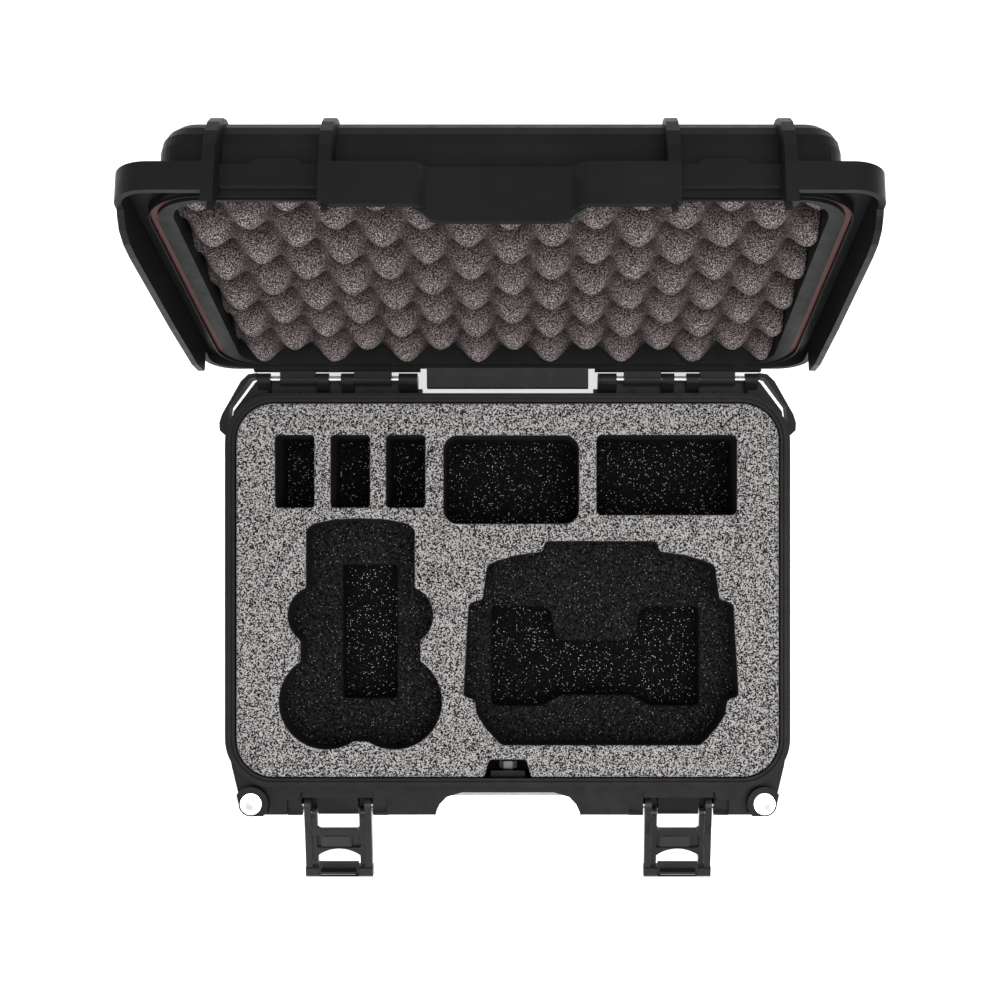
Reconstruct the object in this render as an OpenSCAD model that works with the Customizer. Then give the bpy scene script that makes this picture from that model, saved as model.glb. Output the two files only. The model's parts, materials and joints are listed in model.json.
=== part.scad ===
// Hard carrying case for a folding drone and its controller, standing open.
// Millimetres, +Z up, front at -Y, hinge at +Y. The origin is the middle of the base's underside.

/* [Base shell] */
// Length of the foam opening at the rim
inner_l = 335; // [331:1:339]
// Width of the foam opening at the rim
inner_w = 231; // [229:1:233]
// Height of the rim above the ground
rim_z = 64; // [62:1:70]
// Width of the rim around the opening
rim_t = 6; // [5.5:0.5:6.5]
// Thickness of the tub's wall below the rim
wall_t = 3.2; // [2.8:0.2:3.6]
// Thickness of the tub's floor
floor_t = 3; // [2.5:0.5:4]
// Radius of the opening's corners
inner_r = 24; // [20:1:28]
// Distance from the centre to the front edge of the flange
flange_y = 139.5; // [139:0.5:141]

/* [Lid] */
// Angle between the closed and the open lid
open_deg = 102.5; // [95:0.1:104]
// Distance from the centre to the side face of the lid's flange
lid_half_l = 183; // [181:0.5:184]
// Distance from the centre to the side face of the dome
dome_half_l = 165.5; // [164.5:0.5:166]
// Height of the dome's top above the rim
dome_h = 44; // [42:0.5:46]
// Height of the flange's top above the rim
band_h = 9.5; // [8:0.5:10]
// Height of the ribs above the dome
rib_h = 1.5; // [1:0.5:3]
// Width of a rib
rib_w = 6; // [5:0.5:6]

/* [Hinge] */
// Distance from the centre to the hinge axis
hinge_y = 130; // [130:0.1:130.6]
// Depth of the hinge axis below the rim
hinge_drop = 4.3; // [4.2:0.1:4.6]
// Radius of a hinge pin
hinge_pin_r = 1.6; // [1.3:0.1:1.7]
// Radius of a lid knuckle
knuckle_r = 4; // [3.8:0.1:4]

/* [Latches] */
// Distance from the centre to the middle of a latch
latch_x = 106.5; // [106:0.5:107]
// Angle of the open claw frame below the horizontal
claw_deg = 14; // [8:1:15]
// Angle of the nearly folded lever below the horizontal
lever_deg = 16; // [15:1:20]
// Radius of the latch pins
latch_pin_r = 1.5; // [1.3:0.1:1.6]
// Travel of the slide lock
slide_travel = 3.5; // [2:0.5:4]

/* [Handle] */
// Distance between the middles of the handle's arms
handle_l = 106; // [104:1:108]
// Length of the handle's arms, from pivot to grip
handle_drop = 24; // [20:1:25]
// Radius of the soft grip
grip_r = 6; // [5.5:0.5:6]

/* [Foam] */
// Depth of the foam's top layer
foam_top_h = 30; // [26:1:34]
// Thickness of the foam's bottom pad
foam_pad_h = 6; // [5:1:10]
// Length of a battery slot
battery_l = 44; // [40:0.1:46]
// Width of a battery slot
battery_w = 23.4; // [20:0.2:24]

/* [Fittings] */
// Radius of the hole through a padlock eyelet
eyelet_hole_r = 4; // [3.5:0.25:4.5]
// Outer radius of a padlock eyelet
eyelet_r = 6.6; // [6.2:0.1:6.8]
// Radius of the pressure valve's disc
valve_r = 7.5; // [6.5:0.5:7.5]

/* [Hidden] */

shell_color = [0.13, 0.13, 0.14];
latch_color = [0.17, 0.17, 0.18];
foam_color = [0.62, 0.60, 0.61];
deep_foam_color = [0.12, 0.12, 0.12];
lid_foam_color = [0.42, 0.38, 0.38];
steel_color = [0.78, 0.78, 0.8];
rubber_color = [0.2, 0.09, 0.08];
grip_color = [0.55, 0.55, 0.56];

eps = 0.01;
slab_t = 0.2;
corner_fn = 64;
soft_fn = 32;

// Base
rim_l = inner_l + 2 * rim_t;
rim_w = inner_w + 2 * rim_t - 1;
rim_r = inner_r + rim_t;
rim_band_h = 9;
flange_top = rim_z - 12.8;
flange_t = 5;
flange_lip_h = 11;
flange_lip_t = 3.4;
lip_gap_half = 64;
corner_top = rim_z - 5.5;
tub_l = inner_l + 2 * wall_t;
tub_w = inner_w + 2 * wall_t;
tub_r = inner_r + wall_t;
tub_draft = 1;
well_inset = 6;
tub_foot_r = 8;
front_wall_y = -inner_w / 2 - wall_t;
tongue_x = inner_l / 2 + 3;
tongue_w = 2;
tongue_h = 2;
eyelet_x = 158.5;
eyelet_y = -132;
eyelet_pad_r = 7.6;
hinge_z = rim_z - hinge_drop;
rear_flange_y = 124.5;
rear_flange_z = rim_z - 9.5;
rear_flange_half = 154;
sill_y = 132.6;
rear_notch_half = 53;
rear_notch_y = 121.4;
lug_r = 3.6;
lug_pairs = [[146, 154], [110, 118], [94.6, 102.5], [55.5, 67]];
knuckle_pairs = [[118.3, 139.7], [71.5, 94.3]];
hinge_pin_span = [55.5, 154];
arch_mouth = 46;
arch_root = 28.5;
arch_root_y = -125.6;
notch_x = 106.1;
notch_half = 31;
notch_in = 24;
notch_y = -125.5;
notch_step_y = -130.6;

// Lid, drawn closed
lid_z = rim_z + 0.3;
lid_wall = 3;
lid_corner_r = 18;
lid_top = rim_z + band_h;
cavity_half_l = 160.3;
cavity_half_w = 115;
cavity_r = 20;
dome_half_w = 121;
dome_round = 16;
dome_r = 15;
flange_top_t = 4;
skirt_t = 3.5;
skirt_z = rim_z - 17;
lid_rear_y = 124;
corner_band_z = rim_z - 5;
middle_band_z = rim_z - 12;
recess_half = 33;
recess_mouth = 41;
recess_y = -133.5;
recess_wall = 3.2;
recess_z = rim_z - 18;
channel_y = -126;
channel_z = rim_z + 3.2;
channel_top = rim_z + 14.7;
keeper_top = rim_z + 17.4;
keeper_half = 13;
keeper_t = 5;
rib_inner = 24.7;
rib_outer = 29.8;
rib_reach = 36;
peg_w = 3;
foot_bar_half = 49.5;
groove_w = 3.6;
groove_h = 3.7;
cavity_z = rim_z + 20;
lid_foam_z = rim_z - 0.8;

// Latches
claw_y = -134.5;
claw_z = rim_z - 22.7;
claw_half = 20.9;
claw_rail_t = 4.1;
claw_rail_h = 7;
claw_end = 47.5;
claw_bar = 7;
claw_bar_half = 21.2;
hook_half = 11;
hook_rise = 11;
lever_off = 5;
lever_half = 16.4;
lever_rail_t = 3.1;
lever_t = 5;
web_start = 10.4;
web_end = 23.8;
lever_end = 34.9;
lever_open_deg = 28;
slide_y = -18.8;
arch_r = 21.5;
ear_in = 22.2;
ear_t = 9;
ear_r = 6.5;
fit = 0.05;

// Handle
handle_y = -126;
handle_z = rim_z - 26;
handle_arm_t = 5.5;
handle_pin_r = 2;
handle_ear_r = 6.5;
handle_ear_t = 4;
handle_core = 8;

// Foam
foam_gap = 0.3;
foam_top_z = rim_z - 1.5;
foam_mid_z = foam_top_z - foam_top_h;
foam_low_z = floor_t + foam_pad_h;
drone_x = -90.5;
control_x = 57.4;

// Valve
valve_z = rim_z - 25.5;
valve_stem_r = 3.4;
valve_bore_r = 1.8;
valve_nut_r = 5.5;
valve_stem_l = 12.2;

// ---------- shared shapes ----------

module rounded_rect(l, w, r) {
    square([l - 2 * r, w], center = true);
    square([l, w - 2 * r], center = true);
    for (sx = [-1, 1], sy = [-1, 1])
        translate([sx * (l / 2 - r), sy * (w / 2 - r)]) circle(r, $fn = corner_fn);
}

module rounded_block(l, w, r, z0, z1) {
    translate([0, 0, z0]) linear_extrude(z1 - z0) rounded_rect(l, w, r);
}

// A box given by its lowest and highest corners
module span_box(low, high) {
    translate(low) cube(high - low);
}

// A rod along X between x0 and x1
module x_rod(x0, x1, y, z, r) {
    translate([x0, y, z]) rotate([0, 90, 0]) cylinder(r = r, h = x1 - x0, $fn = 48);
}

// A YZ outline extruded along X between x0 and x1
module x_extrude(x0, x1) {
    translate([x0, 0, 0]) rotate([90, 0, 90]) linear_extrude(x1 - x0) children();
}

module both_sides() {
    for (s = [-1, 1]) scale([s, 1, 1]) children();
}

module on_latches() {
    for (s = [-1, 1]) translate([s * latch_x, 0, 0]) children();
}

// ---------- base shell ----------

module tub_outside() {
    hull() {
        for (s = [[0, tub_foot_r], [2.3, tub_foot_r * 0.32], [tub_foot_r, 0.4]])
            translate([0, 0, s[0]]) linear_extrude(eps)
                offset(delta = -s[1] - tub_draft) square_round(tub_l, tub_w, tub_r + 2);
        translate([0, 0, rim_z - 4]) linear_extrude(eps) square_round(tub_l, tub_w, tub_r);
    }
}

module square_round(l, w, r) {
    offset(r = r, $fn = soft_fn) square([l - 2 * r, w - 2 * r], center = true);
}

// Outline of the front flange, with its rounded ends about the padlock eyelets
module flange_outline() {
    edge = [[rim_l / 2, -86], [173.4, -98], [171.6, -109], [169, -120], [eyelet_x + eyelet_pad_r, eyelet_y]];
    mirror_edge = [for (i = [len(edge) - 1:-1:0]) [-edge[i][0], edge[i][1]]];
    front = [[eyelet_x, -flange_y], [-eyelet_x, -flange_y]];
    polygon(concat(edge, front, mirror_edge));
    eyelet_pads();
}

module eyelet_pads() {
    for (s = [-1, 1]) translate([s * eyelet_x, eyelet_y]) circle(eyelet_pad_r, $fn = corner_fn);
}

// The arch over the handle and the latches' notches
module flange_cuts() {
    outside = -flange_y - 5;
    flank = [[arch_root, arch_root_y], [38, -128.4], [42.4, -133], [44.4, -137.4], [arch_mouth, outside]];
    mirrored = [for (i = [len(flank) - 1:-1:0]) [-flank[i][0], flank[i][1]]];
    polygon(concat(flank, mirrored));
    for (s = [-1, 1]) translate([s * notch_x, 0]) polygon([
        [-notch_half, outside], [notch_half, outside], [notch_half, notch_step_y],
        [notch_in, notch_step_y], [notch_in - 1.5, notch_y], [1.5 - notch_in, notch_y],
        [-notch_in, notch_step_y], [-notch_half, notch_step_y]
    ]);
}

// Shallow slot in the flange beside each padlock eyelet
module eyelet_slots() {
    both_sides() span_box([148.4, -137.6, flange_top - 3], [150.9, -128, flange_top + 1]);
}

module flange_2d() {
    difference() {
        flange_outline();
        flange_cuts();
    }
}

// Plate and hanging lip of the front flange, with a raised pad at each padlock eyelet
module front_flange() {
    translate([0, 0, flange_top - flange_t]) linear_extrude(flange_t) flange_2d();
    translate([0, 0, flange_top - flange_lip_h]) linear_extrude(flange_lip_h) difference() {
        flange_2d();
        translate([-165, -flange_y + flange_lip_t]) square([330, 60]);
        translate([-lip_gap_half, -flange_y - 1]) square([2 * lip_gap_half, 40]);
    }
    translate([0, 0, flange_top - flange_lip_h]) linear_extrude(corner_top - flange_top + flange_lip_h)
        eyelet_pads();
    translate([0, 0, flange_top - 1]) linear_extrude(corner_top - flange_top + 1) intersection() {
        flange_2d();
        for (s = [-1, 1]) translate([s * eyelet_x, eyelet_y]) circle(eyelet_pad_r + 3, $fn = corner_fn);
    }
}

// Ledge behind the tub and the sill that reaches under the hinge pins
module rear_flange() {
    low = rear_flange_z - 7;
    difference() {
        span_box([-rear_flange_half, 112, low], [rear_flange_half, rear_flange_y, rear_flange_z]);
        span_box([-rear_notch_half, rear_notch_y, 0], [rear_notch_half, 140, rim_z + 1]);
    }
    both_sides() x_extrude(lug_pairs[3][0], lug_pairs[0][1]) polygon([
        [rear_flange_y - 2, low + 1], [rear_flange_y - 2, rear_flange_z], [sill_y, rear_flange_z],
        [sill_y, rear_flange_z - 3]
    ]);
}

module hinge_lugs() {
    both_sides() for (p = lug_pairs) x_extrude(p[0], p[1]) {
        translate([hinge_y, hinge_z]) circle(lug_r, $fn = 48);
        polygon([
            [rear_flange_y - 3, rear_flange_z - 6], [hinge_y + 1, rear_flange_z - 2],
            [hinge_y + lug_r * 0.7, hinge_z - lug_r * 0.7], [hinge_y - lug_r * 0.7, hinge_z + lug_r * 0.7],
            [rear_flange_y - 3, rear_flange_z]
        ]);
    }
}

// Diagonal bar that a shoulder strap ring goes round, at each rear corner, and the web inside it
module strap_loops() {
    both_sides() {
        translate([0, 0, rim_z - 19]) linear_extrude(14) polygon([
            [149, 130.8], [154.5, 134], [160, 133.2], [164.6, 128.8], [176.2, 108.4], [177.8, 103.4],
            [177.6, 98.6], [173.5, 94.8], [168, 94.8], [172.6, 104], [171.6, 113.6], [159.2, 130.4],
            [155.8, 131.4], [153, 127], [149, 127]
        ]);
        translate([0, 0, rim_z - 17]) linear_extrude(10) polygon([
            [148, 112], [148, 128.4], [153.4, 130.2], [156, 128.2], [169.4, 110.4], [170.4, 102], [160, 102]
        ]);
    }
}

module latch_ears() {
    on_latches() for (s = [-1, 1]) {
        x0 = s > 0 ? ear_in : -ear_in - ear_t;
        x_rod(x0, x0 + ear_t, claw_y, claw_z, ear_r);
        span_box([x0, claw_y, claw_z - ear_r], [x0 + ear_t, front_wall_y + 2, claw_z + ear_r]);
        // stop under the open claw frame
        stop_in = claw_half - 2.5;
        stop_out = ear_in + 1;
        translate([0, claw_y, claw_z]) rotate([claw_deg, 0, 0])
            span_box([s > 0 ? stop_in : -stop_out, -3.6, -7.5], [s > 0 ? stop_out : -stop_in, 0, -4.9]);
    }
}

// Saddle between the claw's rails, and the ledge behind it
module latch_saddles() {
    on_latches() {
        x_extrude(-12.7, 12.7) polygon([
            [front_wall_y + 2, claw_z - 8], [claw_y - 3.5, claw_z - 8], [claw_y - 6.2, claw_z - 5],
            [claw_y - 6, claw_z - 2], [claw_y - 3, claw_z + 1.5], [claw_y + 7, claw_z + 4.5],
            [front_wall_y + 2, claw_z + 5]
        ]);
        span_box([-22, claw_y + 5, claw_z - 1], [22, front_wall_y + 2, claw_z + 5]);
        span_box([-ear_in - 1, claw_y - 3, claw_z - 10.4], [ear_in + 1, front_wall_y + 2, claw_z - 7.6]);
    }
}

module handle_ears() {
    both_sides() for (x0 = [handle_l / 2 - handle_arm_t / 2 - 0.4 - handle_ear_t,
                            handle_l / 2 + handle_arm_t / 2 + 0.4]) {
        x_rod(x0, x0 + handle_ear_t, handle_y, handle_z, handle_ear_r);
        span_box([x0, handle_y, handle_z - handle_ear_r],
                 [x0 + handle_ear_t, front_wall_y + 3, handle_z + handle_ear_r]);
    }
}

// Upright ribs on the tub's front, rear and sides
module tub_ribs() {
    both_sides() {
        for (x = [latch_x - rib_inner, latch_x + rib_inner]) {
            span_box([x - rib_w / 2, front_wall_y - 4, 3], [x + rib_w / 2, front_wall_y + 3, rim_z - 8]);
            span_box([x - rib_w / 2, -front_wall_y - 3, 3], [x + rib_w / 2, 4 - front_wall_y, rim_z - 4]);
        }
        for (y = [-62, 0, 62])
            span_box([tub_l / 2 - 3, y - rib_w / 2, 4], [tub_l / 2 + 2, y + rib_w / 2, rim_z - 6]);
    }
}

// Shallow panels in the underside, either side of a flat middle band
module underside_panels() {
    both_sides() translate([88, 0, -1]) linear_extrude(2.4) rounded_rect(96, 150, 12);
}

module base_bores() {
    both_sides() {
        x_rod(lug_pairs[3][0] - 1, lug_pairs[0][1] + 1, hinge_y, hinge_z, hinge_pin_r + fit);
        translate([eyelet_x, eyelet_y, 0]) cylinder(r = eyelet_r, h = rim_z + 5, $fn = corner_fn);
        x_rod(handle_l / 2 - 10, handle_l / 2 + 10, handle_y, handle_z, handle_pin_r + fit);
    }
    on_latches() x_rod(-ear_in - ear_t - 1, ear_in + ear_t + 1, claw_y, claw_z, latch_pin_r + fit);
    translate([0, front_wall_y - 10, valve_z]) rotate([-90, 0, 0])
        cylinder(r = valve_stem_r + fit, h = 20, $fn = 48);
}

// Ledge on the front wall, in the foam's notch above the valve
module notch_ledge() {
    span_box([-10.6, -inner_w / 2 - 1, rim_z - 14], [10.6, -inner_w / 2 + 3.6, rim_z - 11]);
}

module base_shell() {
    color(shell_color) difference() {
        union() {
            tub_outside();
            rounded_block(rim_l, rim_w, rim_r, rim_z - rim_band_h, rim_z);
            difference() {
                rounded_block(2 * tongue_x + tongue_w, 2 * tongue_x + tongue_w - inner_l + inner_w,
                              inner_r + 4, rim_z - 1, rim_z + tongue_h);
                rounded_block(2 * tongue_x - tongue_w, 2 * tongue_x - tongue_w - inner_l + inner_w,
                              inner_r + 2, rim_z - 2, rim_z + tongue_h + 1);
            }
            front_flange();
            rear_flange();
            hinge_lugs();
            strap_loops();
            latch_ears();
            latch_saddles();
            handle_ears();
            tub_ribs();
        }
        difference() {
            rounded_block(inner_l, inner_w, inner_r, foam_low_z, rim_z + 10);
            notch_ledge();
        }
        rounded_block(inner_l - 2 * well_inset, inner_w - 2 * well_inset, inner_r - well_inset,
                      floor_t, foam_low_z + 1);
        eyelet_slots();
        underside_panels();
        base_bores();
    }
}

// ---------- base foam ----------

module battery_slots() {
    for (x = [-130.9, -96.7, -62.7]) translate([x, 73.1]) rounded_rect(battery_w, battery_l, 2);
}

module charger_pocket() {
    translate([2.2, 68]) rounded_rect(82.6, 53.6, 8.5);
}

module accessory_pocket() {
    translate([97.8, 70.85]) rounded_rect(85.6, 48.5, 3);
}

// Folded drone seen from above: body, front arms and rear arms
module drone_outline() {
    translate([drone_x, 0]) {
        polygon([
            [-33, 0], [-33, 37.2], [-29, 40.6], [-16, 43.2], [0, 43.9], [16, 43.2], [29, 40.6],
            [33, 37.2], [33, 0], [36.4, -30], [36.4, -46], [20.8, -92.5], [-20.8, -92.5],
            [-36.4, -46], [-36.4, -30]
        ]);
        for (s = [-1, 1]) {
            translate([s * 26.4, -15.5]) circle(18, $fn = corner_fn);
            translate([s * 20.8, -68.5]) circle(29, $fn = corner_fn);
        }
    }
}

module drone_well() {
    translate([-87.3, -26]) rounded_rect(34, 84, 2);
}

// Controller seen from above: body, grips and antenna fold
module controller_outline() {
    half = [[34, 29.8], [35.6, 23.5], [52, 21.2], [64, 17.6], [69.6, 15.2], [72.4, -5.8],
            [81, -8.5], [84.2, -65], [77.4, -67], [76, -76.4], [70.5, -84.7], [61, -94.9]];
    back = [for (i = [len(half) - 1:-1:0]) [-half[i][0], half[i][1]]];
    translate([control_x, 0]) polygon(concat(half, back));
}

module controller_well() {
    translate([control_x - 2.6, 0]) polygon([
        [-65.4, -10.4], [-32, -10.4], [-28, -14], [-26, -28], [-22, -32], [22, -32],
        [26, -28], [28, -14], [32, -10.4], [65.4, -10.4], [65.4, -72.8], [34, -72.8],
        [22, -66], [-22, -66], [-34, -72.8], [-65.4, -72.8]
    ]);
}

module valve_notch() {
    translate([0, -inner_w / 2]) polygon([[-14.4, -1], [14.4, -1], [11.2, 11.1], [-11.2, 11.1]]);
}

module foam_block() {
    rounded_rect(inner_l - 2 * foam_gap, inner_w - 2 * foam_gap, inner_r - foam_gap);
}

module base_foam_top() {
    color(foam_color) translate([0, 0, foam_mid_z]) linear_extrude(foam_top_h) difference() {
        foam_block();
        battery_slots();
        charger_pocket();
        accessory_pocket();
        drone_outline();
        controller_outline();
        valve_notch();
    }
}

module base_foam_middle() {
    depth = foam_mid_z - foam_low_z;
    color(deep_foam_color) translate([0, 0, foam_low_z]) linear_extrude(depth) difference() {
        foam_block();
        battery_slots();
        charger_pocket();
        accessory_pocket();
        drone_well();
        controller_well();
        valve_notch();
    }
}

module base_foam_bottom() {
    inset = well_inset + foam_gap;
    color(deep_foam_color)
        rounded_block(inner_l - 2 * inset, inner_w - 2 * inset, inner_r - inset, floor_t, foam_low_z);
}

// ---------- lid, drawn closed and swung open about the hinge ----------

module swing_open() {
    translate([0, hinge_y, hinge_z]) rotate([-open_deg, 0, 0]) translate([0, -hinge_y, -hinge_z]) children();
}

// The dome, grown or shrunk all round by the inset
module dome_slabs(inset, foot) {
    top = dome_h - inset;
    steps = [for (a = [0:18:90]) [top - dome_round * (1 - sin(a)), inset + dome_round * (1 - cos(a))]];
    hull() for (s = concat([[foot, inset]], steps))
        translate([0, 0, rim_z + s[0] - slab_t]) linear_extrude(slab_t)
            square_round(2 * (dome_half_l - s[1]), 2 * (dome_half_w - s[1]), dome_r - s[1] * 0.45);
}

// Outline of the lid's flange; its front edge is at -flange_y
module lid_outline(inset) {
    depth = flange_y + lid_rear_y;
    translate([0, (lid_rear_y - flange_y) / 2])
        rounded_rect(2 * (lid_half_l - inset), depth - 2 * inset, lid_corner_r - inset);
}

module lid_ring_2d() {
    difference() {
        lid_outline(0);
        lid_outline(skirt_t);
    }
}

// The hand recess in the middle of the front band, with curved flanks, grown by the wall
module recess_2d(wall) {
    depth = flange_y + recess_y;
    flank = [for (t = [0:0.2:1])
        [recess_half + wall / 2 + (recess_mouth - recess_half + wall / 2) * t,
         recess_y + wall - (depth + wall) * (0.5 - 0.5 * cos(180 * t))]];
    mirrored = [for (i = [len(flank) - 1:-1:0]) [-flank[i][0], flank[i][1]]];
    mouth = recess_mouth + wall;
    polygon(concat(flank, [[mouth, -flange_y - 9], [-mouth, -flange_y - 9]], mirrored));
}

// The two latch channels in the front band
module channels_2d() {
    for (s = [-1, 1]) {
        x_in = latch_x - rib_inner + rib_w / 2;
        x_out = latch_x + rib_outer - rib_w / 2;
        translate([s > 0 ? x_in : -x_out, -flange_y - 8]) square([x_out - x_in, flange_y + 8 + channel_y]);
    }
}

module front_strip(half, depth) {
    translate([-half, -flange_y]) square([2 * half, depth]);
}

// Thin upright band round the flange, as deep as each stretch needs
module lid_band() {
    // front corners, down to the padlock pads
    translate([0, 0, corner_band_z]) linear_extrude(lid_top - corner_band_z) difference() {
        intersection() {
            lid_ring_2d();
            translate([-200, -flange_y]) square([400, 35]);
        }
        recess_2d(0);
        channels_2d();
    }
    // middle stretch, between the inner ribs
    translate([0, 0, middle_band_z]) linear_extrude(lid_top - middle_band_z) difference() {
        front_strip(latch_x - rib_inner, skirt_t);
        recess_2d(0);
    }
    // wall of the hand recess
    translate([0, 0, middle_band_z]) linear_extrude(lid_top - middle_band_z) intersection() {
        difference() {
            recess_2d(recess_wall);
            recess_2d(0);
        }
        front_strip(recess_mouth + recess_wall, 20);
    }
    // tab below the recess, with rounded ends
    translate([0, recess_y + recess_wall, 0]) rotate([90, 0, 0]) linear_extrude(recess_wall) polygon([
        [-recess_mouth, middle_band_z + 1], [-recess_half - 3, middle_band_z - 2],
        [-recess_half, recess_z + 1], [-recess_half + 6, recess_z], [recess_half - 6, recess_z],
        [recess_half, recess_z + 1], [recess_half + 3, middle_band_z - 2], [recess_mouth, middle_band_z + 1]
    ]);
    // rear and sides
    translate([0, 0, lid_z]) linear_extrude(lid_top - lid_z) difference() {
        lid_ring_2d();
        translate([-200, -flange_y - 1]) square([400, 35]);
    }
}

// Side skirts that hang outside the base's rim and end in a point near the hinge
module side_skirts() {
    front_edge = [[-119.5, rim_z - 2], [-116.5, rim_z - 8], [-111.5, rim_z - 13], [-102, rim_z - 16]];
    rear_edge = [[72, skirt_z + 1.5], [90.5, rim_z - 12.8], [93.5, rim_z - 11], [94, rim_z + 1]];
    intersection() {
        translate([0, 0, skirt_z - 1]) linear_extrude(lid_top - skirt_z) lid_ring_2d();
        x_extrude(-200, 200)
            polygon(concat([[-119.5, rim_z + 5]], front_edge, [[-88, skirt_z], [10, skirt_z]],
                           rear_edge, [[94, rim_z + 5]]));
    }
}

module lid_flange_plate() {
    translate([0, 0, lid_top - flange_top_t]) linear_extrude(flange_top_t) difference() {
        lid_outline(0);
        recess_2d(0);
        channels_2d();
        for (s = [-1, 1]) translate([s * eyelet_x, eyelet_y]) circle(eyelet_hole_r + 0.5, $fn = corner_fn);
    }
}

// A loop of the gasket groove's shape, as wide as given
module groove_loop(width, z0, z1) {
    half_l = tongue_x;
    half_w = tongue_x - (inner_l - inner_w) / 2;
    difference() {
        rounded_block(2 * half_l + width, 2 * half_w + width, inner_r + 3 + width / 2, z0, z1);
        rounded_block(2 * half_l - width, 2 * half_w - width, inner_r + 3 - width / 2, z0 - 1, z1 + 1);
    }
}

// Face and keeper tab that the latch's hook goes over
module latch_keepers() {
    x_in = rib_inner - rib_w / 2;
    x_out = rib_outer - rib_w / 2;
    both_sides() translate([latch_x, 0, 0]) {
        span_box([-x_in, channel_y, channel_z], [x_out, -dome_half_w + 2, channel_top]);
        translate([0, channel_y + keeper_t, 0]) rotate([90, 0, 0]) linear_extrude(keeper_t) polygon([
            [-keeper_half, channel_top - 1], [keeper_half, channel_top - 1],
            [keeper_half - 2.4, keeper_top], [2.4 - keeper_half, keeper_top]
        ]);
    }
}

// Rib that runs from the flange's front edge over the dome to the rear
module lid_ribs() {
    rise = dome_h + rib_h - band_h;
    front = [for (a = [0:15:90]) [-flange_y + rib_reach * (1 - cos(a)), lid_top + rise * sin(a)]];
    rear = [for (a = [90:-15:0]) [100 + 22 * cos(a), lid_top + rise * sin(a)]];
    foot = [[122, lid_top - 3], [-118, lid_top - 3], [-134, rim_z - 10.7], [-flange_y, rim_z - 10.7]];
    both_sides() for (x = [latch_x - rib_inner, latch_x + rib_outer])
        x_extrude(x - rib_w / 2, x + rib_w / 2) polygon(concat(front, rear, foot));
}

// Pegs under the ribs that drop into the base's latch notches
module lid_pegs() {
    both_sides() for (x = [latch_x - rib_inner, latch_x + rib_outer - 1.3])
        span_box([x - peg_w / 2, -137, rim_z - 14], [x + peg_w / 2, -134, rim_z - 8]);
}

module lid_knuckles() {
    both_sides() for (p = knuckle_pairs) x_extrude(p[0], p[1]) {
        translate([hinge_y, hinge_z]) circle(knuckle_r, $fn = 48);
        polygon([
            [hinge_y - knuckle_r, hinge_z], [hinge_y - 5, lid_z], [118, lid_z], [118, lid_top - 1],
            [hinge_y - 4, lid_top - 1], [hinge_y + 2.8, hinge_z + 2.8]
        ]);
    }
}

// Plate behind the lid's rim that covers the hinge
module lid_hinge_plate() {
    both_sides() x_extrude(lug_pairs[3][0] - 2, lug_pairs[0][1] + 1.5) polygon([
        [lid_rear_y - 3, lid_z], [lid_rear_y - 1, rim_z - 0.8], [hinge_y - 2.6, rim_z - 0.8],
        [hinge_y - 2.2, rim_z + 0.4], [hinge_y - 3, lid_top - 2], [lid_rear_y - 3, lid_top - 2]
    ]);
}

// Bar in the rear notch that comes up against the base when the lid is open
module foot_bar() {
    x_extrude(-foot_bar_half, foot_bar_half) polygon([
        [118, lid_z], [122, lid_z], [124, hinge_z], [hinge_y - 4, hinge_z - 6.6],
        [hinge_y + 3, hinge_z - 5.4], [hinge_y + 1.4, hinge_z + 4],
        [hinge_y - 2, lid_top - 1.5], [118, lid_top - 1]
    ]);
}

module lid_shell() {
    color(shell_color) swing_open() difference() {
        union() {
            difference() {
                union() {
                    dome_slabs(0, 2);
                    latch_keepers();
                    rounded_block(rim_l - 0.6, rim_w - 0.6, rim_r - 0.3, lid_z, lid_top - 1);
                }
                span_box([-300, -300, -50], [300, 300, lid_z]);
            }
            lid_flange_plate();
            lid_ribs();
            lid_band();
            side_skirts();
            lid_pegs();
            lid_knuckles();
            lid_hinge_plate();
            foot_bar();
        }
        rounded_block(2 * cavity_half_l, 2 * cavity_half_w, cavity_r, rim_z - 5, cavity_z);
        dome_slabs(lid_wall, cavity_z - rim_z);
        groove_loop(groove_w, rim_z - 1, rim_z + groove_h);
        both_sides() x_rod(lug_pairs[3][0], lug_pairs[0][1], hinge_y, hinge_z, hinge_pin_r + fit);
    }
}

module lid_foam() {
    color(lid_foam_color) swing_open() {
        rounded_block(2 * cavity_half_l - 0.6, 2 * cavity_half_w - 0.6, cavity_r - 0.3,
                      lid_foam_z, cavity_z);
        dome_slabs(lid_wall + 0.3, cavity_z - rim_z);
    }
}

module lid_gasket() {
    color(rubber_color) swing_open() groove_loop(groove_w - 0.2, rim_z + tongue_h + 0.3, rim_z + groove_h);
}

module hinge_pin(side) {
    x0 = side > 0 ? hinge_pin_span[0] : -hinge_pin_span[1];
    color(steel_color) x_rod(x0, x0 + hinge_pin_span[1] - hinge_pin_span[0], hinge_y, hinge_z, hinge_pin_r);
}

// ---------- latches ----------

// Frame of the open claw: pivot at the origin, reaching out along -Y
module on_claw(side) {
    translate([side * latch_x, claw_y, claw_z]) rotate([claw_deg, 0, 0]) children();
}

// Frame of the lever: pivot at the origin, reaching out along -Y
module on_lever(side) {
    on_claw(side) translate([0, -lever_off, 0]) rotate([lever_deg - claw_deg, 0, 0]) children();
}

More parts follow.
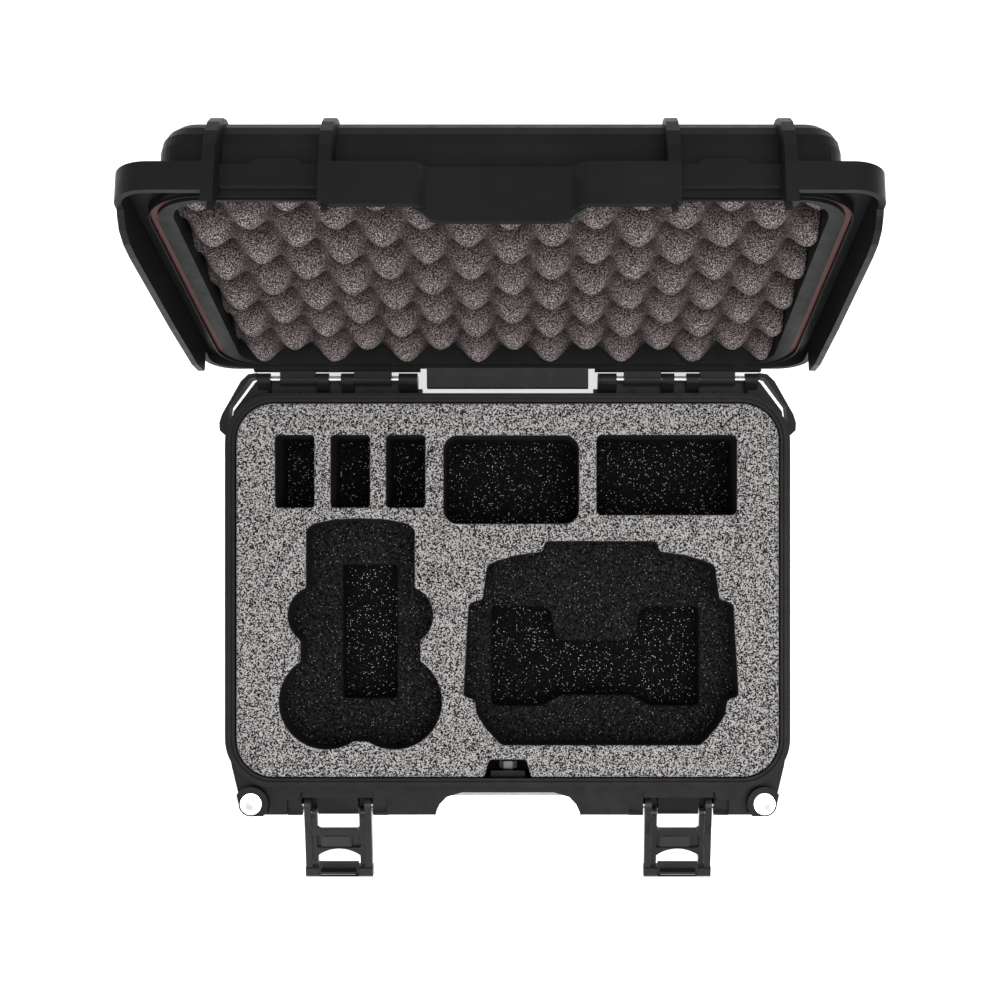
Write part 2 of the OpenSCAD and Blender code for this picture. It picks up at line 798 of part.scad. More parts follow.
module latch_claw(side) {
    color(latch_color) on_claw(side) difference() {
        union() {
            for (x0 = [-claw_half, claw_half - claw_rail_t]) {
                x_rod(x0, x0 + claw_rail_t, 0, 0, 4.5);
                x_extrude(x0, x0 + claw_rail_t) polygon([
                    [0, -4.5], [0, 4.5], [-10, 4.2], [-18, claw_rail_h / 2],
                    [bar_y(0), claw_rail_h / 2], [bar_y(0), -claw_rail_h / 2], [-12, -claw_rail_h / 2]
                ]);
            }
            // cross bar with its hook and tongue
            x_extrude(-claw_bar_half, claw_bar_half) polygon([
                [bar_y(claw_bar), -2.6], [bar_y(claw_bar) + 1.4, -4], [bar_y(0) - 1, -4],
                [bar_y(0), -3], [bar_y(0), 3], [bar_y(0) - 1, 4], [bar_y(claw_bar) + 1.4, 4],
                [bar_y(claw_bar), 2.6]
            ]);
            x_extrude(-hook_half, hook_half) polygon([
                [bar_y(0) - 0.3, 3], [bar_y(0) - 0.3, hook_rise], [bar_y(0) - 1.6, hook_rise],
                [bar_y(0) - 2.6, hook_rise - 1.4], [bar_y(0) - 2.8, 3]
            ]);
            span_box([-12.6, bar_y(3), 2.9], [12.6, bar_y(-4), 4.7]);
            // stops that carry the open lever
            for (s = [-1, 1]) scale([s, 1, 1]) translate([0, -lever_off, 0])
                rotate([lever_open_deg, 0, 0]) {
                    span_box([lever_half - 2, -6, -5.4], [claw_half, -2.6, -lever_t / 2 - 0.3]);
                    span_box([claw_half - claw_rail_t, -6, -5.4], [claw_half, -2.6, 1]);
                }
        }
        x_rod(-claw_half - 1, claw_half + 1, 0, 0, latch_pin_r + fit);
        x_rod(-claw_half - 1, claw_half + 1, -lever_off, 0, latch_pin_r + fit);
        // hollow behind the hook
        translate([0, bar_y(claw_bar / 2 + 1.3), 0.5]) linear_extrude(5) rounded_rect(25, 3.4, 1.6);
    }
}

function bar_y(d) = claw_bar - claw_end - d;

// Outline of the lever: two rails and a broad web with an arched finger edge
module lever_web_2d() {
    difference() {
        translate([-lever_half, -lever_end]) square([2 * lever_half, lever_end - web_start]);
        translate([0, -web_end - arch_r]) circle(arch_r, $fn = 96);
        translate([0, -web_start + 2.5]) rounded_rect(2 * (lever_half - lever_rail_t), 7, 2.5);
    }
}

module latch_lever(side) {
    color(latch_color) on_lever(side) difference() {
        union() {
            for (x0 = [-lever_half, lever_half - lever_rail_t]) {
                x_rod(x0, x0 + lever_rail_t, 0, 0, 3.2);
                span_box([x0, -lever_end, -lever_t / 2], [x0 + lever_rail_t, 0, lever_t / 2]);
            }
            translate([0, 0, -lever_t / 2]) linear_extrude(lever_t) lever_web_2d();
        }
        x_rod(-lever_half - 1, lever_half + 1, 0, 0, latch_pin_r + fit);
        // pocket that the slide lock runs in
        translate([0, slide_y, -0.3]) linear_extrude(lever_t) rounded_rect(27.4, 8.6, 1.2);
    }
}

module latch_slide(side) {
    color(latch_color) on_lever(side) translate([-slide_travel / 2, slide_y, 0]) {
        translate([0, 0, -0.1]) linear_extrude(1.6) rounded_rect(19.4, 8.2, 1);
        translate([0, 0, 1.4]) linear_extrude(1.2) rounded_rect(17.4, 6.8, 1.6);
    }
}

module latch_base_pins(side) {
    color(steel_color) translate([side * latch_x, 0, 0])
        for (x0 = [-ear_in - ear_t, claw_half - claw_rail_t])
            x_rod(x0, x0 + ear_in + ear_t - claw_half + claw_rail_t, claw_y, claw_z, latch_pin_r);
}

module latch_lever_pins(side) {
    color(steel_color) on_claw(side) for (x0 = [-claw_half, lever_half - lever_rail_t])
        x_rod(x0, x0 + claw_half - lever_half + lever_rail_t, -lever_off, 0, latch_pin_r);
}

// ---------- handle ----------

module handle_frame() {
    bar_z = handle_z - handle_drop;
    color(shell_color) difference() {
        union() {
            both_sides() {
                x0 = handle_l / 2 - handle_arm_t / 2;
                x_rod(x0, x0 + handle_arm_t, handle_y, handle_z, 5.5);
                x_rod(x0, x0 + handle_arm_t, handle_y, bar_z, 6);
                x_extrude(x0, x0 + handle_arm_t) polygon([
                    [handle_y - 5.5, handle_z], [handle_y + 5.5, handle_z],
                    [handle_y + 6, bar_z], [handle_y - 6, bar_z]
                ]);
            }
            x_rod(-handle_l / 2, handle_l / 2, handle_y, bar_z, handle_core / 2);
        }
        both_sides() x_rod(handle_l / 2 - 9, handle_l / 2 + 9, handle_y, handle_z, handle_pin_r + fit);
    }
}

module handle_grip() {
    half = handle_l / 2 - handle_arm_t / 2 - 2;
    color(grip_color) difference() {
        x_rod(-half, half, handle_y, handle_z - handle_drop, grip_r);
        x_rod(-half - 1, half + 1, handle_y, handle_z - handle_drop, handle_core / 2);
    }
}

module handle_pins() {
    reach = handle_arm_t / 2 + 0.4 + handle_ear_t;
    color(steel_color) both_sides()
        x_rod(handle_l / 2 - reach, handle_l / 2 + reach, handle_y, handle_z, handle_pin_r);
}

// ---------- fittings ----------

module padlock_eyelet(side) {
    bottom = flange_top - flange_lip_h;
    color(steel_color) translate([side * eyelet_x, eyelet_y, bottom]) difference() {
        union() {
            cylinder(r = eyelet_r, h = corner_top - bottom, $fn = corner_fn);
            cylinder(r = eyelet_r - 0.4, h = corner_top - bottom + 0.3, $fn = corner_fn);
        }
        translate([0, 0, -1]) cylinder(r = eyelet_hole_r, h = 40, $fn = corner_fn);
    }
}

// Axis of the valve: local +Z points out of the case's front
module on_valve() {
    translate([0, front_wall_y, valve_z]) rotate([90, 0, 0]) children();
}

module valve_body() {
    color(shell_color) on_valve() difference() {
        union() {
            translate([0, 0, 1.5]) cylinder(r = valve_r, h = 3.5, $fn = 48);
            translate([0, 0, -valve_stem_l]) cylinder(r = valve_stem_r, h = valve_stem_l + 2, $fn = 48);
        }
        translate([0, 0, -valve_stem_l - 1]) cylinder(r = valve_bore_r, h = 30, $fn = 32);
        translate([0, 0, 3]) cylinder(r = valve_r - 2, h = 3, $fn = 48);
    }
}

module valve_seal() {
    color(rubber_color) on_valve() translate([0, 0, 0.4]) difference() {
        cylinder(r = valve_r - 1, h = 1.1, $fn = 48);
        translate([0, 0, -1]) cylinder(r = valve_stem_r + fit, h = 4, $fn = 48);
    }
}

module valve_cap() {
    color(latch_color) on_valve() translate([0, 0, 3]) difference() {
        cylinder(r = valve_r - 2.1, h = 1.6, $fn = 48);
        for (a = [0:60:300]) rotate(a) translate([3.4, 0, -1]) cylinder(r = 0.8, h = 4, $fn = 24);
    }
}

module valve_nut() {
    color(grip_color) on_valve() translate([0, 0, 0.6 - valve_stem_l]) difference() {
        cylinder(r = valve_nut_r, h = 4.5, $fn = 6);
        translate([0, 0, -1]) cylinder(r = valve_stem_r + fit, h = 8, $fn = 48);
    }
}

base_shell();
base_foam_top();
base_foam_middle();
base_foam_bottom();
lid_shell();
lid_foam();
lid_gasket();
hinge_pin(-1);  // hinge_pin_left
hinge_pin(1);  // hinge_pin_right
latch_claw(-1);  // latch_claw_left
latch_claw(1);  // latch_claw_right
latch_lever(-1);  // latch_lever_left
latch_lever(1);  // latch_lever_right
latch_slide(-1);  // latch_slide_left
latch_slide(1);  // latch_slide_right
latch_base_pins(-1);  // latch_base_pins_left
latch_base_pins(1);  // latch_base_pins_right
latch_lever_pins(-1);  // latch_lever_pins_left
latch_lever_pins(1);  // latch_lever_pins_right
handle_frame();
handle_grip();
handle_pins();
padlock_eyelet(-1);  // padlock_eyelet_left
padlock_eyelet(1);  // padlock_eyelet_right
valve_body();
valve_seal();
valve_cap();
valve_nut();
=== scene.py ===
"""A hard drone case standing open: finishes for its CAD shells and hardware, and new foam pieces."""
import json
import math

import bmesh
import bpy
from mathutils import Matrix, Vector, noise
from mathutils.geometry import tessellate_polygon


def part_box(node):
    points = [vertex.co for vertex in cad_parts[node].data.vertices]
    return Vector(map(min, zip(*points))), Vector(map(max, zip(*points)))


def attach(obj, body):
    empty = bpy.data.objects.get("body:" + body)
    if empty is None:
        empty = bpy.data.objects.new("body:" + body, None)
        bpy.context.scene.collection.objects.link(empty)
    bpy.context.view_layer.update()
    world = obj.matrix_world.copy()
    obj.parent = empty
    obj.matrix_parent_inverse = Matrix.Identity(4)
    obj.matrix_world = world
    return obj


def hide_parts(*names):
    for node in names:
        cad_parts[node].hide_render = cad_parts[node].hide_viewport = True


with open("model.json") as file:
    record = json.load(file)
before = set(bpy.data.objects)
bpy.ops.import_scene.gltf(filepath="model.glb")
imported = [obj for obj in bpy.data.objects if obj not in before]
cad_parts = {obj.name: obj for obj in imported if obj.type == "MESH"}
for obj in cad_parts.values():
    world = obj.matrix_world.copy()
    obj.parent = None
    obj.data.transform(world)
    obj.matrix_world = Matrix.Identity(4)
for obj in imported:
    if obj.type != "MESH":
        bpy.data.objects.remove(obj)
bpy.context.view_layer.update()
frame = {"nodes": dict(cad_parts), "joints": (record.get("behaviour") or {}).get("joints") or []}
NODES = frame["nodes"]
MM = 0.001


# ---------- node-tree helpers ----------


class Finish:
    """One procedural material, with short calls for the nodes that it needs."""

    def __init__(self, name, color, roughness, metallic=0.0, specular=0.5):
        self.material = bpy.data.materials.new(name)
        self.material.use_nodes = True
        self.tree = self.material.node_tree
        self.shader = self.tree.nodes["Principled BSDF"]
        self.set("Base Color", (*color, 1.0))
        self.set("Roughness", roughness)
        self.set("Metallic", metallic)
        self.set("Specular IOR Level", specular)
        self.place = self.node("ShaderNodeTexCoord").outputs["Object"]

    def set(self, socket, value):
        self.shader.inputs[socket].default_value = value

    def node(self, kind, **values):
        made = self.tree.nodes.new(kind)
        for key, value in values.items():
            setattr(made, key, value)
        return made

    def link(self, source, target):
        self.tree.links.new(source, target)

    def noise(self, size, detail=2.0, rough=0.5, place=None):
        """Noise whose features are about size metres across."""
        made = self.node("ShaderNodeTexNoise")
        self.link(place or self.place, made.inputs["Vector"])
        made.inputs["Scale"].default_value = 1.0 / size
        made.inputs["Detail"].default_value = detail
        made.inputs["Roughness"].default_value = rough
        return made.outputs["Fac"]

    def cells(self, size, feature="F1"):
        """Cells about size metres across: the node itself."""
        made = self.node("ShaderNodeTexVoronoi", feature=feature)
        self.link(self.place, made.inputs["Vector"])
        made.inputs["Scale"].default_value = 1.0 / size
        return made

    def ramp(self, value, low, high, from_color, to_color):
        """Colours a value, from from_color at low to to_color at high."""
        made = self.node("ShaderNodeValToRGB")
        made.color_ramp.elements[0].position = low
        made.color_ramp.elements[0].color = (*from_color, 1.0)
        made.color_ramp.elements[1].position = high
        made.color_ramp.elements[1].color = (*to_color, 1.0)
        self.link(value, made.inputs["Fac"])
        return made.outputs["Color"]

    def spread(self, value, low, high, to_low, to_high):
        """Maps a value from one range to another, and clamps it."""
        made = self.node("ShaderNodeMapRange")
        limits = {"From Min": low, "From Max": high, "To Min": to_low, "To Max": to_high}
        for socket, number in limits.items():
            made.inputs[socket].default_value = number
        self.link(value, made.inputs["Value"])
        return made.outputs["Result"]

    def maths(self, operation, a, b):
        made = self.node("ShaderNodeMath", operation=operation)
        for socket, value in zip(made.inputs, (a, b)):
            if isinstance(value, (int, float)):
                socket.default_value = value
            else:
                self.link(value, socket)
        return made.outputs["Value"]

    def mix(self, share, a, b, blend="MIX"):
        """Mixes two colours; a and b are sockets or colours."""
        made = self.node("ShaderNodeMix", data_type="RGBA", blend_type=blend)
        if isinstance(share, (int, float)):
            made.inputs["Factor"].default_value = share
        else:
            self.link(share, made.inputs["Factor"])
        for socket, value in ((made.inputs[6], a), (made.inputs[7], b)):
            if isinstance(value, tuple):
                socket.default_value = (*value, 1.0)
            else:
                self.link(value, socket)
        return made.outputs[2]

    def color(self, socket):
        self.link(socket, self.shader.inputs["Base Color"])

    def roughness(self, socket):
        self.link(socket, self.shader.inputs["Roughness"])

    def bump(self, height, strength, distance):
        """Adds one layer of relief; a later call lies on the earlier ones."""
        made = self.node("ShaderNodeBump")
        made.inputs["Strength"].default_value = strength
        made.inputs["Distance"].default_value = distance
        self.link(height, made.inputs["Height"])
        earlier = self.shader.inputs["Normal"].links
        if earlier:
            self.link(earlier[0].from_socket, made.inputs["Normal"])
        self.link(made.outputs["Normal"], self.shader.inputs["Normal"])

    def along(self, direction):
        """The place's distance from the origin along a direction, in metres."""
        made = self.node("ShaderNodeVectorMath", operation="DOT_PRODUCT")
        self.link(self.place, made.inputs[0])
        made.inputs[1].default_value = direction
        return made.outputs["Value"]

    def facing_up(self):
        """Z of the face's own normal, in the object's axes."""
        turned = self.node("ShaderNodeVectorTransform", vector_type="NORMAL",
                           convert_from="WORLD", convert_to="OBJECT")
        self.link(self.node("ShaderNodeNewGeometry").outputs["Normal"], turned.inputs["Vector"])
        made = self.node("ShaderNodeSeparateXYZ")
        self.link(turned.outputs["Vector"], made.inputs["Vector"])
        return made.outputs["Z"]


# ---------- materials ----------


def moulded_plastic(name, shade, roughness, grain=0.45 * MM, specular=0.1):
    """Satin moulded plastic: fine spark-eroded grain, faint flow marks and rubbed patches."""
    made = Finish(name, (shade, shade, shade * 1.04), roughness, specular=specular)
    flow = made.noise(38 * MM, detail=4.0)
    fine = made.noise(grain, detail=3.0, rough=0.6)
    dark = (shade * 0.86, shade * 0.86, shade * 0.9)
    light = (shade * 1.18, shade * 1.18, shade * 1.24)
    made.color(made.ramp(flow, 0.3, 0.72, dark, light))
    rubbed = made.noise(9 * MM, detail=5.0, rough=0.7)
    made.roughness(made.spread(rubbed, 0.3, 0.75, roughness + 0.07, roughness - 0.08))
    made.bump(fine, 0.22, 0.06 * MM)
    made.bump(made.noise(3.2 * MM, detail=2.0), 0.08, 0.15 * MM)
    return made.material


def steel(name, shade, roughness, streak=0.4 * MM):
    """Turned steel with fine drawn lines."""
    made = Finish(name, (shade, shade, shade * 1.01), roughness, metallic=1.0)
    lines = made.noise(streak, detail=3.0)
    made.roughness(made.spread(lines, 0.3, 0.7, roughness * 0.7, roughness * 1.4))
    made.color(made.ramp(made.noise(4 * MM), 0.3, 0.7, (shade * 0.9,) * 3, (shade,) * 3))
    made.bump(lines, 0.1, 0.02 * MM)
    return made.material


def speckled_foam(name):
    """Light grey closed-cell foam with dark pores; faces that don't face up are painted in shade, black
    with a few brighter cells.
    """
    made = Finish(name, (0.4, 0.4, 0.41), 0.9, specular=0.2)
    crumbs = made.noise(0.85 * MM, detail=1.5, rough=0.6)
    face = made.ramp(crumbs, 0.455, 0.56, (0.003, 0.0025, 0.0025), (0.38, 0.365, 0.36))
    # painted shade: the grey face colour fades out as a face turns away from up, giving way to the
    # near-black shaded wall colour
    up = made.spread(made.facing_up(), 0.55, 0.85, 0.0, 1.0)
    pores = made.noise(1.3 * MM, detail=1.0)
    painted_shade_wall = made.ramp(pores, 0.5, 0.75, (0.005, 0.005, 0.005), (0.022, 0.021, 0.021))
    made.color(made.mix(up, painted_shade_wall, face))
    made.bump(crumbs, 0.5, 0.35 * MM)
    return made.material


def black_foam(name, bright=0.8, share=0.62, shade=0.006):
    """Black closed-cell foam in which single cells catch the light."""
    made = Finish(name, (shade, shade, shade), 0.9, specular=0.08)
    cells = made.cells(1.05 * MM)
    separate = made.node("ShaderNodeSeparateColor")
    made.link(cells.outputs["Color"], separate.inputs["Color"])
    lit = made.spread(separate.outputs["Red"], share, 0.96, 0.0, 1.0)
    core = made.spread(cells.outputs["Distance"], 0.06, 0.34, 1.0, 0.0)
    speck = made.maths("MULTIPLY", lit, core)
    body = made.ramp(made.noise(1.1 * MM, detail=2.0), 0.4, 0.7, (shade * 0.1,) * 3, (shade * 2.2,) * 3)
    up = made.spread(made.facing_up(), 0.6, 0.9, 0.1, 1.0)
    made.color(made.mix(made.maths("MULTIPLY", speck, up), body, (bright, bright, bright * 0.95)))
    made.bump(made.noise(1.1 * MM, detail=2.0), 0.5, 0.3 * MM)
    return made.material


def open_cell_foam(name, direction, valley, peak):
    """Brown-grey open-cell foam: lit struts and dark pores, with shade painted into the valleys between
    the peaks.
    """
    made = Finish(name, (0.16, 0.13, 0.13), 0.95, specular=0.08)
    crumbs = made.noise(0.7 * MM, detail=1.0, rough=0.6)
    struts = made.ramp(crumbs, 0.45, 0.72, (0.028, 0.021, 0.021), (0.42, 0.36, 0.36))
    valley_shade = made.ramp(crumbs, 0.45, 0.72, (0.002, 0.001, 0.001), (0.04, 0.026, 0.024))
    # painted shade: the colour darkens from the lit struts at the peaks to a near-black colour at the
    # bottom of the valleys
    height = made.spread(made.along(direction), valley, peak, 0.0, 1.0)
    made.color(made.mix(made.maths("POWER", height, 1.3), valley_shade, struts))
    made.bump(crumbs, 0.6, 0.5 * MM)
    return made.material


def soft_rubber(name, color, roughness):
    """Rubber or plain plastic with faint blotches and a fine grain."""
    made = Finish(name, color, roughness)
    made.color(made.ramp(made.noise(6 * MM, detail=4.0), 0.3, 0.7,
                         tuple(c * 0.85 for c in color), tuple(min(1, c * 1.15) for c in color)))
    made.bump(made.noise(0.5 * MM, detail=2.0), 0.25, 0.05 * MM)
    return made.material


# ---------- meshes ----------


def outline_loops(node):
    """Closed outlines of a node's flat top face, with the face on their left."""
    mesh = NODES[node].data
    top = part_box(node)[1].z - 1e-5
    directed = set()
    for face in mesh.polygons:
        corners = [mesh.vertices[i].co for i in face.vertices]
        if min(c.z for c in corners) > top:
            ring = [(round(c.x, 6), round(c.y, 6)) for c in corners]
            directed.update(zip(ring, ring[1:] + ring[:1]))
    follow = {a: b for a, b in directed if (b, a) not in directed}
    loops = []
    while follow:
        start = min(follow)
        loop, here = [], start
        while here in follow:
            loop.append(Vector(here))
            here = follow.pop(here)
        loops.append(loop)
    loops.sort(key=lambda loop: -max(p.x for p in loop) + min(p.x for p in loop))
    return loops


def soften(loop, reach, steps=4, sharp=math.radians(14)):
    """Rounds a loop's sharp corners, starting up to reach before each."""
    made = []
    count = len(loop)
    for i, point in enumerate(loop):
        before, after = loop[i - 1] - point, loop[(i + 1) % count] - point
        if before.length < 1e-7 or math.pi - before.angle(after) < sharp:
            made.append(point)
            continue
        start = point + before.normalized() * min(reach, before.length * 0.45)
        end = point + after.normalized() * min(reach, after.length * 0.45)
        for k in range(steps + 1):
            t = k / steps
            made.append(start * (1 - t) ** 2 + point * 2 * t * (1 - t) + end * t * t)
    return made


def split_long(loop, limit):
    """Adds points so that no side of a loop is longer than limit."""
    made = []
    for i, point in enumerate(loop):
        side = loop[(i + 1) % len(loop)] - point
        parts = max(1, math.ceil(side.length / limit))
        made += [point + side * k / parts for k in range(parts)]
    return made


def inset(loop, depth):
    """Moves a loop to its left by depth."""
    made = []
    count = len(loop)
    for i, point in enumerate(loop):
        a = (point - loop[i - 1]).normalized()
        b = (loop[(i + 1) % count] - point).normalized()
        left = Vector((-a.y - b.y, a.x + b.x))
        if left.length < 1e-6:
            left = Vector((-a.y, a.x))
        left.normalize()
        scale = 1 / max(0.55, left.dot(Vector((-a.y, a.x))))
        made.append(point + left * depth * scale)
    return made


def cut_slab(name, loops, low, high, edge, steps=4):
    """A slab with holes whose edges, top and bottom, are rounded by edge."""
    profile = [(edge * (1 - math.sin(a)), edge * (1 - math.cos(a)))
               for a in (math.pi / 2 * k / steps for k in range(steps + 1))]
    levels = [(d, low + z) for d, z in profile] + [(d, high - z) for d, z in reversed(profile)]
    mesh = bmesh.new()
    rims = {0: [], len(levels) - 1: []}
    for loop in loops:
        rings = []
        for depth, z in levels:
            rings.append([mesh.verts.new((p.x, p.y, z)) for p in inset(loop, depth)])
        for lower, upper in zip(rings, rings[1:]):
            for k in range(len(loop)):
                n = (k + 1) % len(loop)
                mesh.faces.new((lower[k], lower[n], upper[n], upper[k]))
        rims[0].append(rings[0])
        rims[len(levels) - 1].append(rings[-1])
    for index, rings in rims.items():
        flat = [v for ring in rings for v in ring]
        for triangle in tessellate_polygon([[v.co for v in ring] for ring in rings]):
            corners = [flat[i] for i in triangle]
            if len(set(corners)) == 3:
                mesh.faces.new(corners)
    bmesh.ops.recalc_face_normals(mesh, faces=mesh.faces)
    return finish_mesh(name, mesh)


def finish_mesh(name, mesh):
    """Turns an edit mesh into a smooth-shaded object of the scene."""
    data = bpy.data.meshes.new(name)
    for face in mesh.faces:
        face.smooth = True
    mesh.to_mesh(data)
    mesh.free()
    piece = bpy.data.objects.new(name, data)
    bpy.context.scene.collection.objects.link(piece)
    return piece


def dress(piece, material):
    """Gives a piece one material."""
    piece.data.materials.clear()
    piece.data.materials.append(material)


def stand_for(piece, node, body, material):
    """A new piece takes a CAD node's place."""
    dress(piece, material)
    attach(piece, body)
    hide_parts(node)


# ---------- foam ----------


def base_foam(material_top, material_middle, material_deep):
    """Cut foam with rolled edges in place of each of the three CAD layers."""
    for node, edge, reach, material, slot in (
        ("base_foam_top", 1.6 * MM, 2.2 * MM, material_top, "foam_base"),
        ("base_foam_middle", 2.2 * MM, 3.0 * MM, material_middle, "foam_deep"),
        ("base_foam_bottom", 1.0 * MM, 2.0 * MM, material_deep, "foam_deep"),
    ):
        low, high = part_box(node)
        loops = [split_long(soften(loop, reach), 6 * MM) for loop in outline_loops(node)]
        piece = cut_slab(node + "_cut", loops, low.z, high.z, edge)
        stand_for(piece, node, "base", material)


def opened_matrix():
    """Turns what is drawn on the closed lid to the open one."""
    hinge = next(j for j in frame["joints"] if j["name"] == "lid_hinge")
    pivot = Matrix.Translation(Vector(hinge["pos_m"]))
    return pivot @ Matrix.Rotation(-math.radians(hinge["range_deg"][1]), 4, "X") @ pivot.inverted()


def to_round_corner(x, y, half_x, half_y, radius):
    """Moves a point of a square-cornered plan into the same plan with rounded corners."""
    u = (abs(x) - half_x + radius) / radius
    v = (abs(y) - half_y + radius) / radius
    if u <= 0 or v <= 0:
        return x, y
    u, v = u * math.sqrt(1 - v * v / 2), v * math.sqrt(1 - u * u / 2)
    return math.copysign(half_x - radius + u * radius, x), math.copysign(half_y - radius + v * radius, y)


def edge_distance(x, y, half_x, half_y, radius):
    """How far a point lies inside a rounded rectangle's edge."""
    u, v = abs(x) - half_x + radius, abs(y) - half_y + radius
    return radius - (math.hypot(max(u, 0), max(v, 0)) + min(max(u, v), 0))


def lid_foam():
    """Convoluted foam: rows of rounded peaks in front of a back that fits the dome."""
    opened = opened_matrix()
    closed = opened.inverted()
    corners = [closed @ v.co for v in NODES["lid_foam"].data.vertices]
    low = Vector([min(c[i] for c in corners) for i in range(3)])
    high = Vector([max(c[i] for c in corners) for i in range(3)])
    half_x, half_y = 159.9 * MM, 114.6 * MM
    corner = 19.7 * MM
    dome_round, dome_gap = 16 * MM, 2.4 * MM
    pitch = 43.2 * MM
    first_x, first_y = -17.5 * MM, 108 * MM
    relief = 17 * MM
    step = 1.5 * MM
    turn = 2 * math.pi / pitch
    nx, ny = round(2 * half_x / step), round(2 * half_y / step)
    mesh = bmesh.new()
    front, back = [], []
    for j in range(ny + 1):
        rows = ([], [])
        for i in range(nx + 1):
            x, y = half_x * (2 * i / nx - 1), half_y * (2 * j / ny - 1)
            x, y = to_round_corner(x, y, half_x, half_y, corner)
            wave = math.cos(turn * (x - first_x)) * math.cos(turn * (y - first_y))
            peak = (0.5 + 0.5 * wave) ** 1.15
            rough = 0.4 * MM * noise.noise(Vector((x, y, 0)) / (5 * MM))
            inside = edge_distance(x, y, half_x, half_y, corner)
            slump = 1.2 * MM * math.exp(-inside / (3 * MM))
            z = max(low.z + relief * (1 - peak) + rough + slump, low.z + 0.1 * MM)
            bend = max(0.0, 1 - (inside + dome_gap) / dome_round)
            back_z = high.z - dome_round * (1 - math.sqrt(1 - bend * bend))
            rows[0].append(mesh.verts.new(opened @ Vector((x, y, z))))
            rows[1].append(mesh.verts.new(opened @ Vector((x, y, back_z))))
        front.append(rows[0])
        back.append(rows[1])
    for j in range(ny):
        for i in range(nx):
            mesh.faces.new((front[j][i], front[j][i + 1], front[j + 1][i + 1], front[j + 1][i]))
            mesh.faces.new((back[j][i], back[j + 1][i], back[j + 1][i + 1], back[j][i + 1]))
    for i in range(nx):
        for j in (0, ny):
            mesh.faces.new((front[j][i], front[j][i + 1], back[j][i + 1], back[j][i]))
    for j in range(ny):
        for i in (0, nx):
            mesh.faces.new((front[j][i], front[j + 1][i], back[j + 1][i], back[j][i]))
    bmesh.ops.recalc_face_normals(mesh, faces=mesh.faces)
    outward = opened.to_3x3() @ Vector((0, 0, -1))
    tip = outward.dot(opened @ Vector((0, 0, low.z)))
    # the valley and peak levels set where the painted valley shade starts and ends
    material = open_cell_foam("foam_lid", outward, tip - relief, tip - 0.12 * relief)
    piece = finish_mesh("lid_foam_convoluted", mesh)
    stand_for(piece, "lid_foam", "lid", material)


# ---------- hard parts ----------


def round_edges(node, width, segments=2):
    """Breaks the sharp edges of a moulding."""
    piece = NODES[node]
    weld = piece.modifiers.new("weld", "WELD")
    weld.merge_threshold = 1e-6
    bevel = piece.modifiers.new("edges", "BEVEL")
    bevel.width = width
    bevel.segments = segments
    bevel.limit_method = "ANGLE"
    bevel.angle_limit = math.radians(32)
    bevel.use_clamp_overlap = True
    bevel.harden_normals = False
    normals = piece.modifiers.new("normals", "WEIGHTED_NORMAL")
    normals.keep_sharp = True


# ---------- studio ----------


def area_light(name, place, aim, size, power, shape=(1.0, 1.0)):
    data = bpy.data.lights.new(name, "AREA")
    data.shape = "RECTANGLE"
    data.size = size * shape[0]
    data.size_y = size * shape[1]
    data.energy = power
    lamp = bpy.data.objects.new(name, data)
    lamp.location = place
    lamp.rotation_euler = (Vector(aim) - Vector(place)).to_track_quat("-Z", "Y").to_euler()
    bpy.context.scene.collection.objects.link(lamp)


def studio():
    floor_mesh = bmesh.new()
    bmesh.ops.create_grid(floor_mesh, x_segments=1, y_segments=1, size=3.0)
    floor = finish_mesh("floor", floor_mesh)
    paper = Finish("paper", (0.93, 0.93, 0.93), 0.9)
    paper.set("Emission Color", (1.0, 1.0, 1.0, 1.0))
    paper.set("Emission Strength", 0.6)
    dress(floor, paper.material)
    world = bpy.data.worlds.new("studio")
    bpy.context.scene.world = world
    world.use_nodes = True
    background = world.node_tree.nodes["Background"]
    background.inputs["Color"].default_value = (1.0, 1.0, 1.0, 1.0)
    background.inputs["Strength"].default_value = 0.36
    area_light("overhead", (0.25, -0.25, 1.9), (0, 0, 0), 1.5, 42)
    area_light("front", (-0.9, -1.5, 1.5), (0, 0, 0.1), 1.2, 12)
    bpy.context.scene.view_settings.view_transform = "Standard"


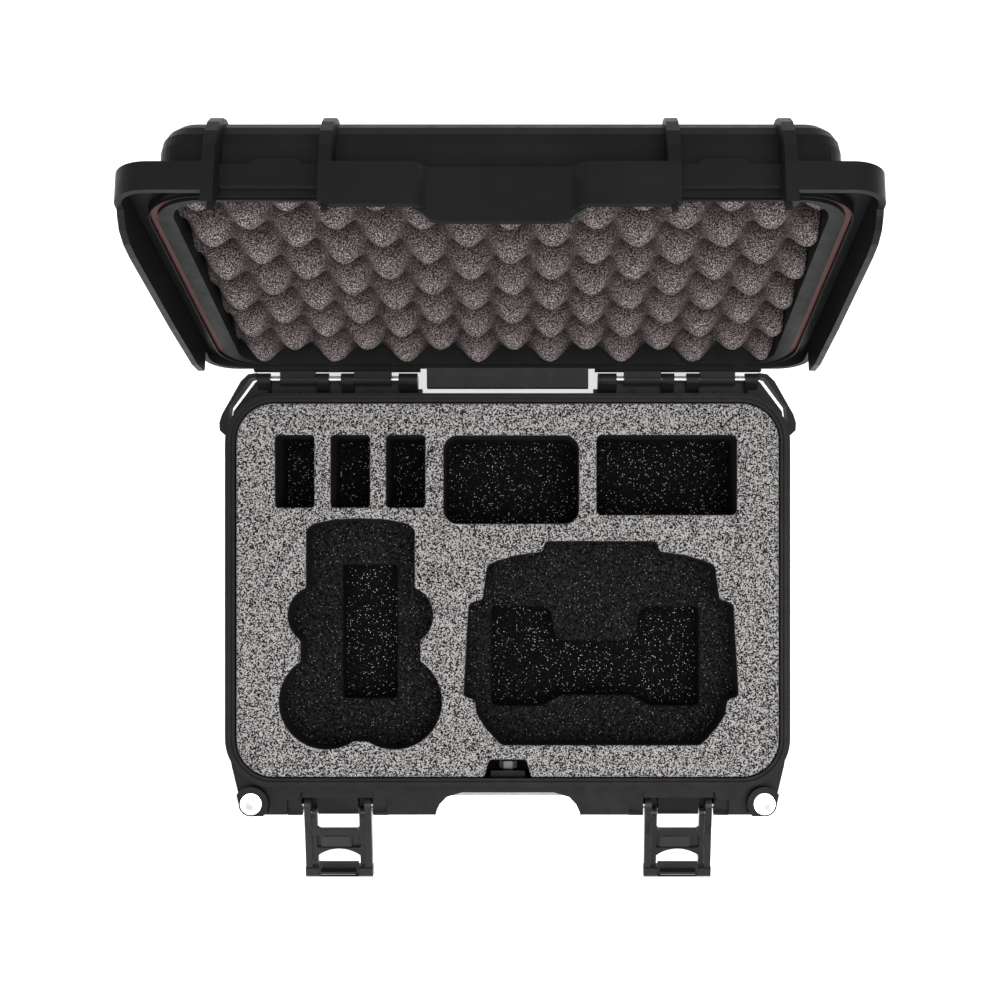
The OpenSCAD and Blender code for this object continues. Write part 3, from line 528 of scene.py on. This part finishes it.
def camera():
    """Straight above the case; the shift sets where it stands in the picture."""
    data = bpy.data.cameras.new("camera")
    data.sensor_width = 36.0
    data.lens = 62.6
    data.shift_x = -0.033
    data.shift_y = 0.08
    data.clip_start = 0.05
    data.clip_end = 20
    eye = bpy.data.objects.new("camera", data)
    eye.location = (0.0156, 0.0063, 1.131)
    bpy.context.scene.collection.objects.link(eye)
    bpy.context.scene.camera = eye


# ---------- assembly ----------

shell = moulded_plastic("shell_plastic", 0.009, 0.46)
latch = moulded_plastic("latch_plastic", 0.014, 0.36, 0.35 * MM, 0.2)
slide = moulded_plastic("slide_plastic", 0.022, 0.4, 0.35 * MM, 0.25)
pin_steel = steel("pin_steel", 0.5, 0.35)
bright_steel = steel("bright_steel", 0.72, 0.22)
gasket = soft_rubber("gasket_rubber", (0.08, 0.018, 0.013), 0.55)
grip = soft_rubber("grip_rubber", (0.36, 0.36, 0.37), 0.6)
nut = soft_rubber("nut_plastic", (0.13, 0.13, 0.135), 0.45)

FINISHES = {
    "shell": (shell, ["base_shell", "lid_shell", "handle_frame", "valve_body"]),
    "latch": (latch, ["latch_claw_left", "latch_claw_right", "latch_lever_left", "latch_lever_right",
                      "valve_cap"]),
    "slide": (slide, ["latch_slide_left", "latch_slide_right"]),
    "gasket": (gasket, ["lid_gasket", "valve_seal"]),
    "steel": (pin_steel, ["hinge_pin_left", "hinge_pin_right", "latch_base_pins_left",
                          "latch_base_pins_right", "latch_lever_pins_left", "latch_lever_pins_right",
                          "handle_pins"]),
    "eyelet": (bright_steel, ["padlock_eyelet_left", "padlock_eyelet_right"]),
    "grip": (grip, ["handle_grip"]),
    "nut": (nut, ["valve_nut"]),
}
for slot, (material, names) in FINISHES.items():
    for name in names:
        dress(NODES[name], material)

for name, width in (("base_shell", 0.6 * MM), ("lid_shell", 0.6 * MM), ("handle_frame", 0.5 * MM),
                    ("latch_claw_left", 0.35 * MM), ("latch_claw_right", 0.35 * MM),
                    ("latch_lever_left", 0.35 * MM), ("latch_lever_right", 0.35 * MM),
                    ("latch_slide_left", 0.25 * MM), ("latch_slide_right", 0.25 * MM)):
    round_edges(name, width)

camera()
foam_grey = speckled_foam("foam_grey")
foam_shelf = black_foam("foam_shelf", 0.4, 0.78, 0.009)
foam_black = black_foam("foam_black", 0.85, 0.7, 0.003)
base_foam(foam_grey, foam_shelf, foam_black)
lid_foam()
studio()
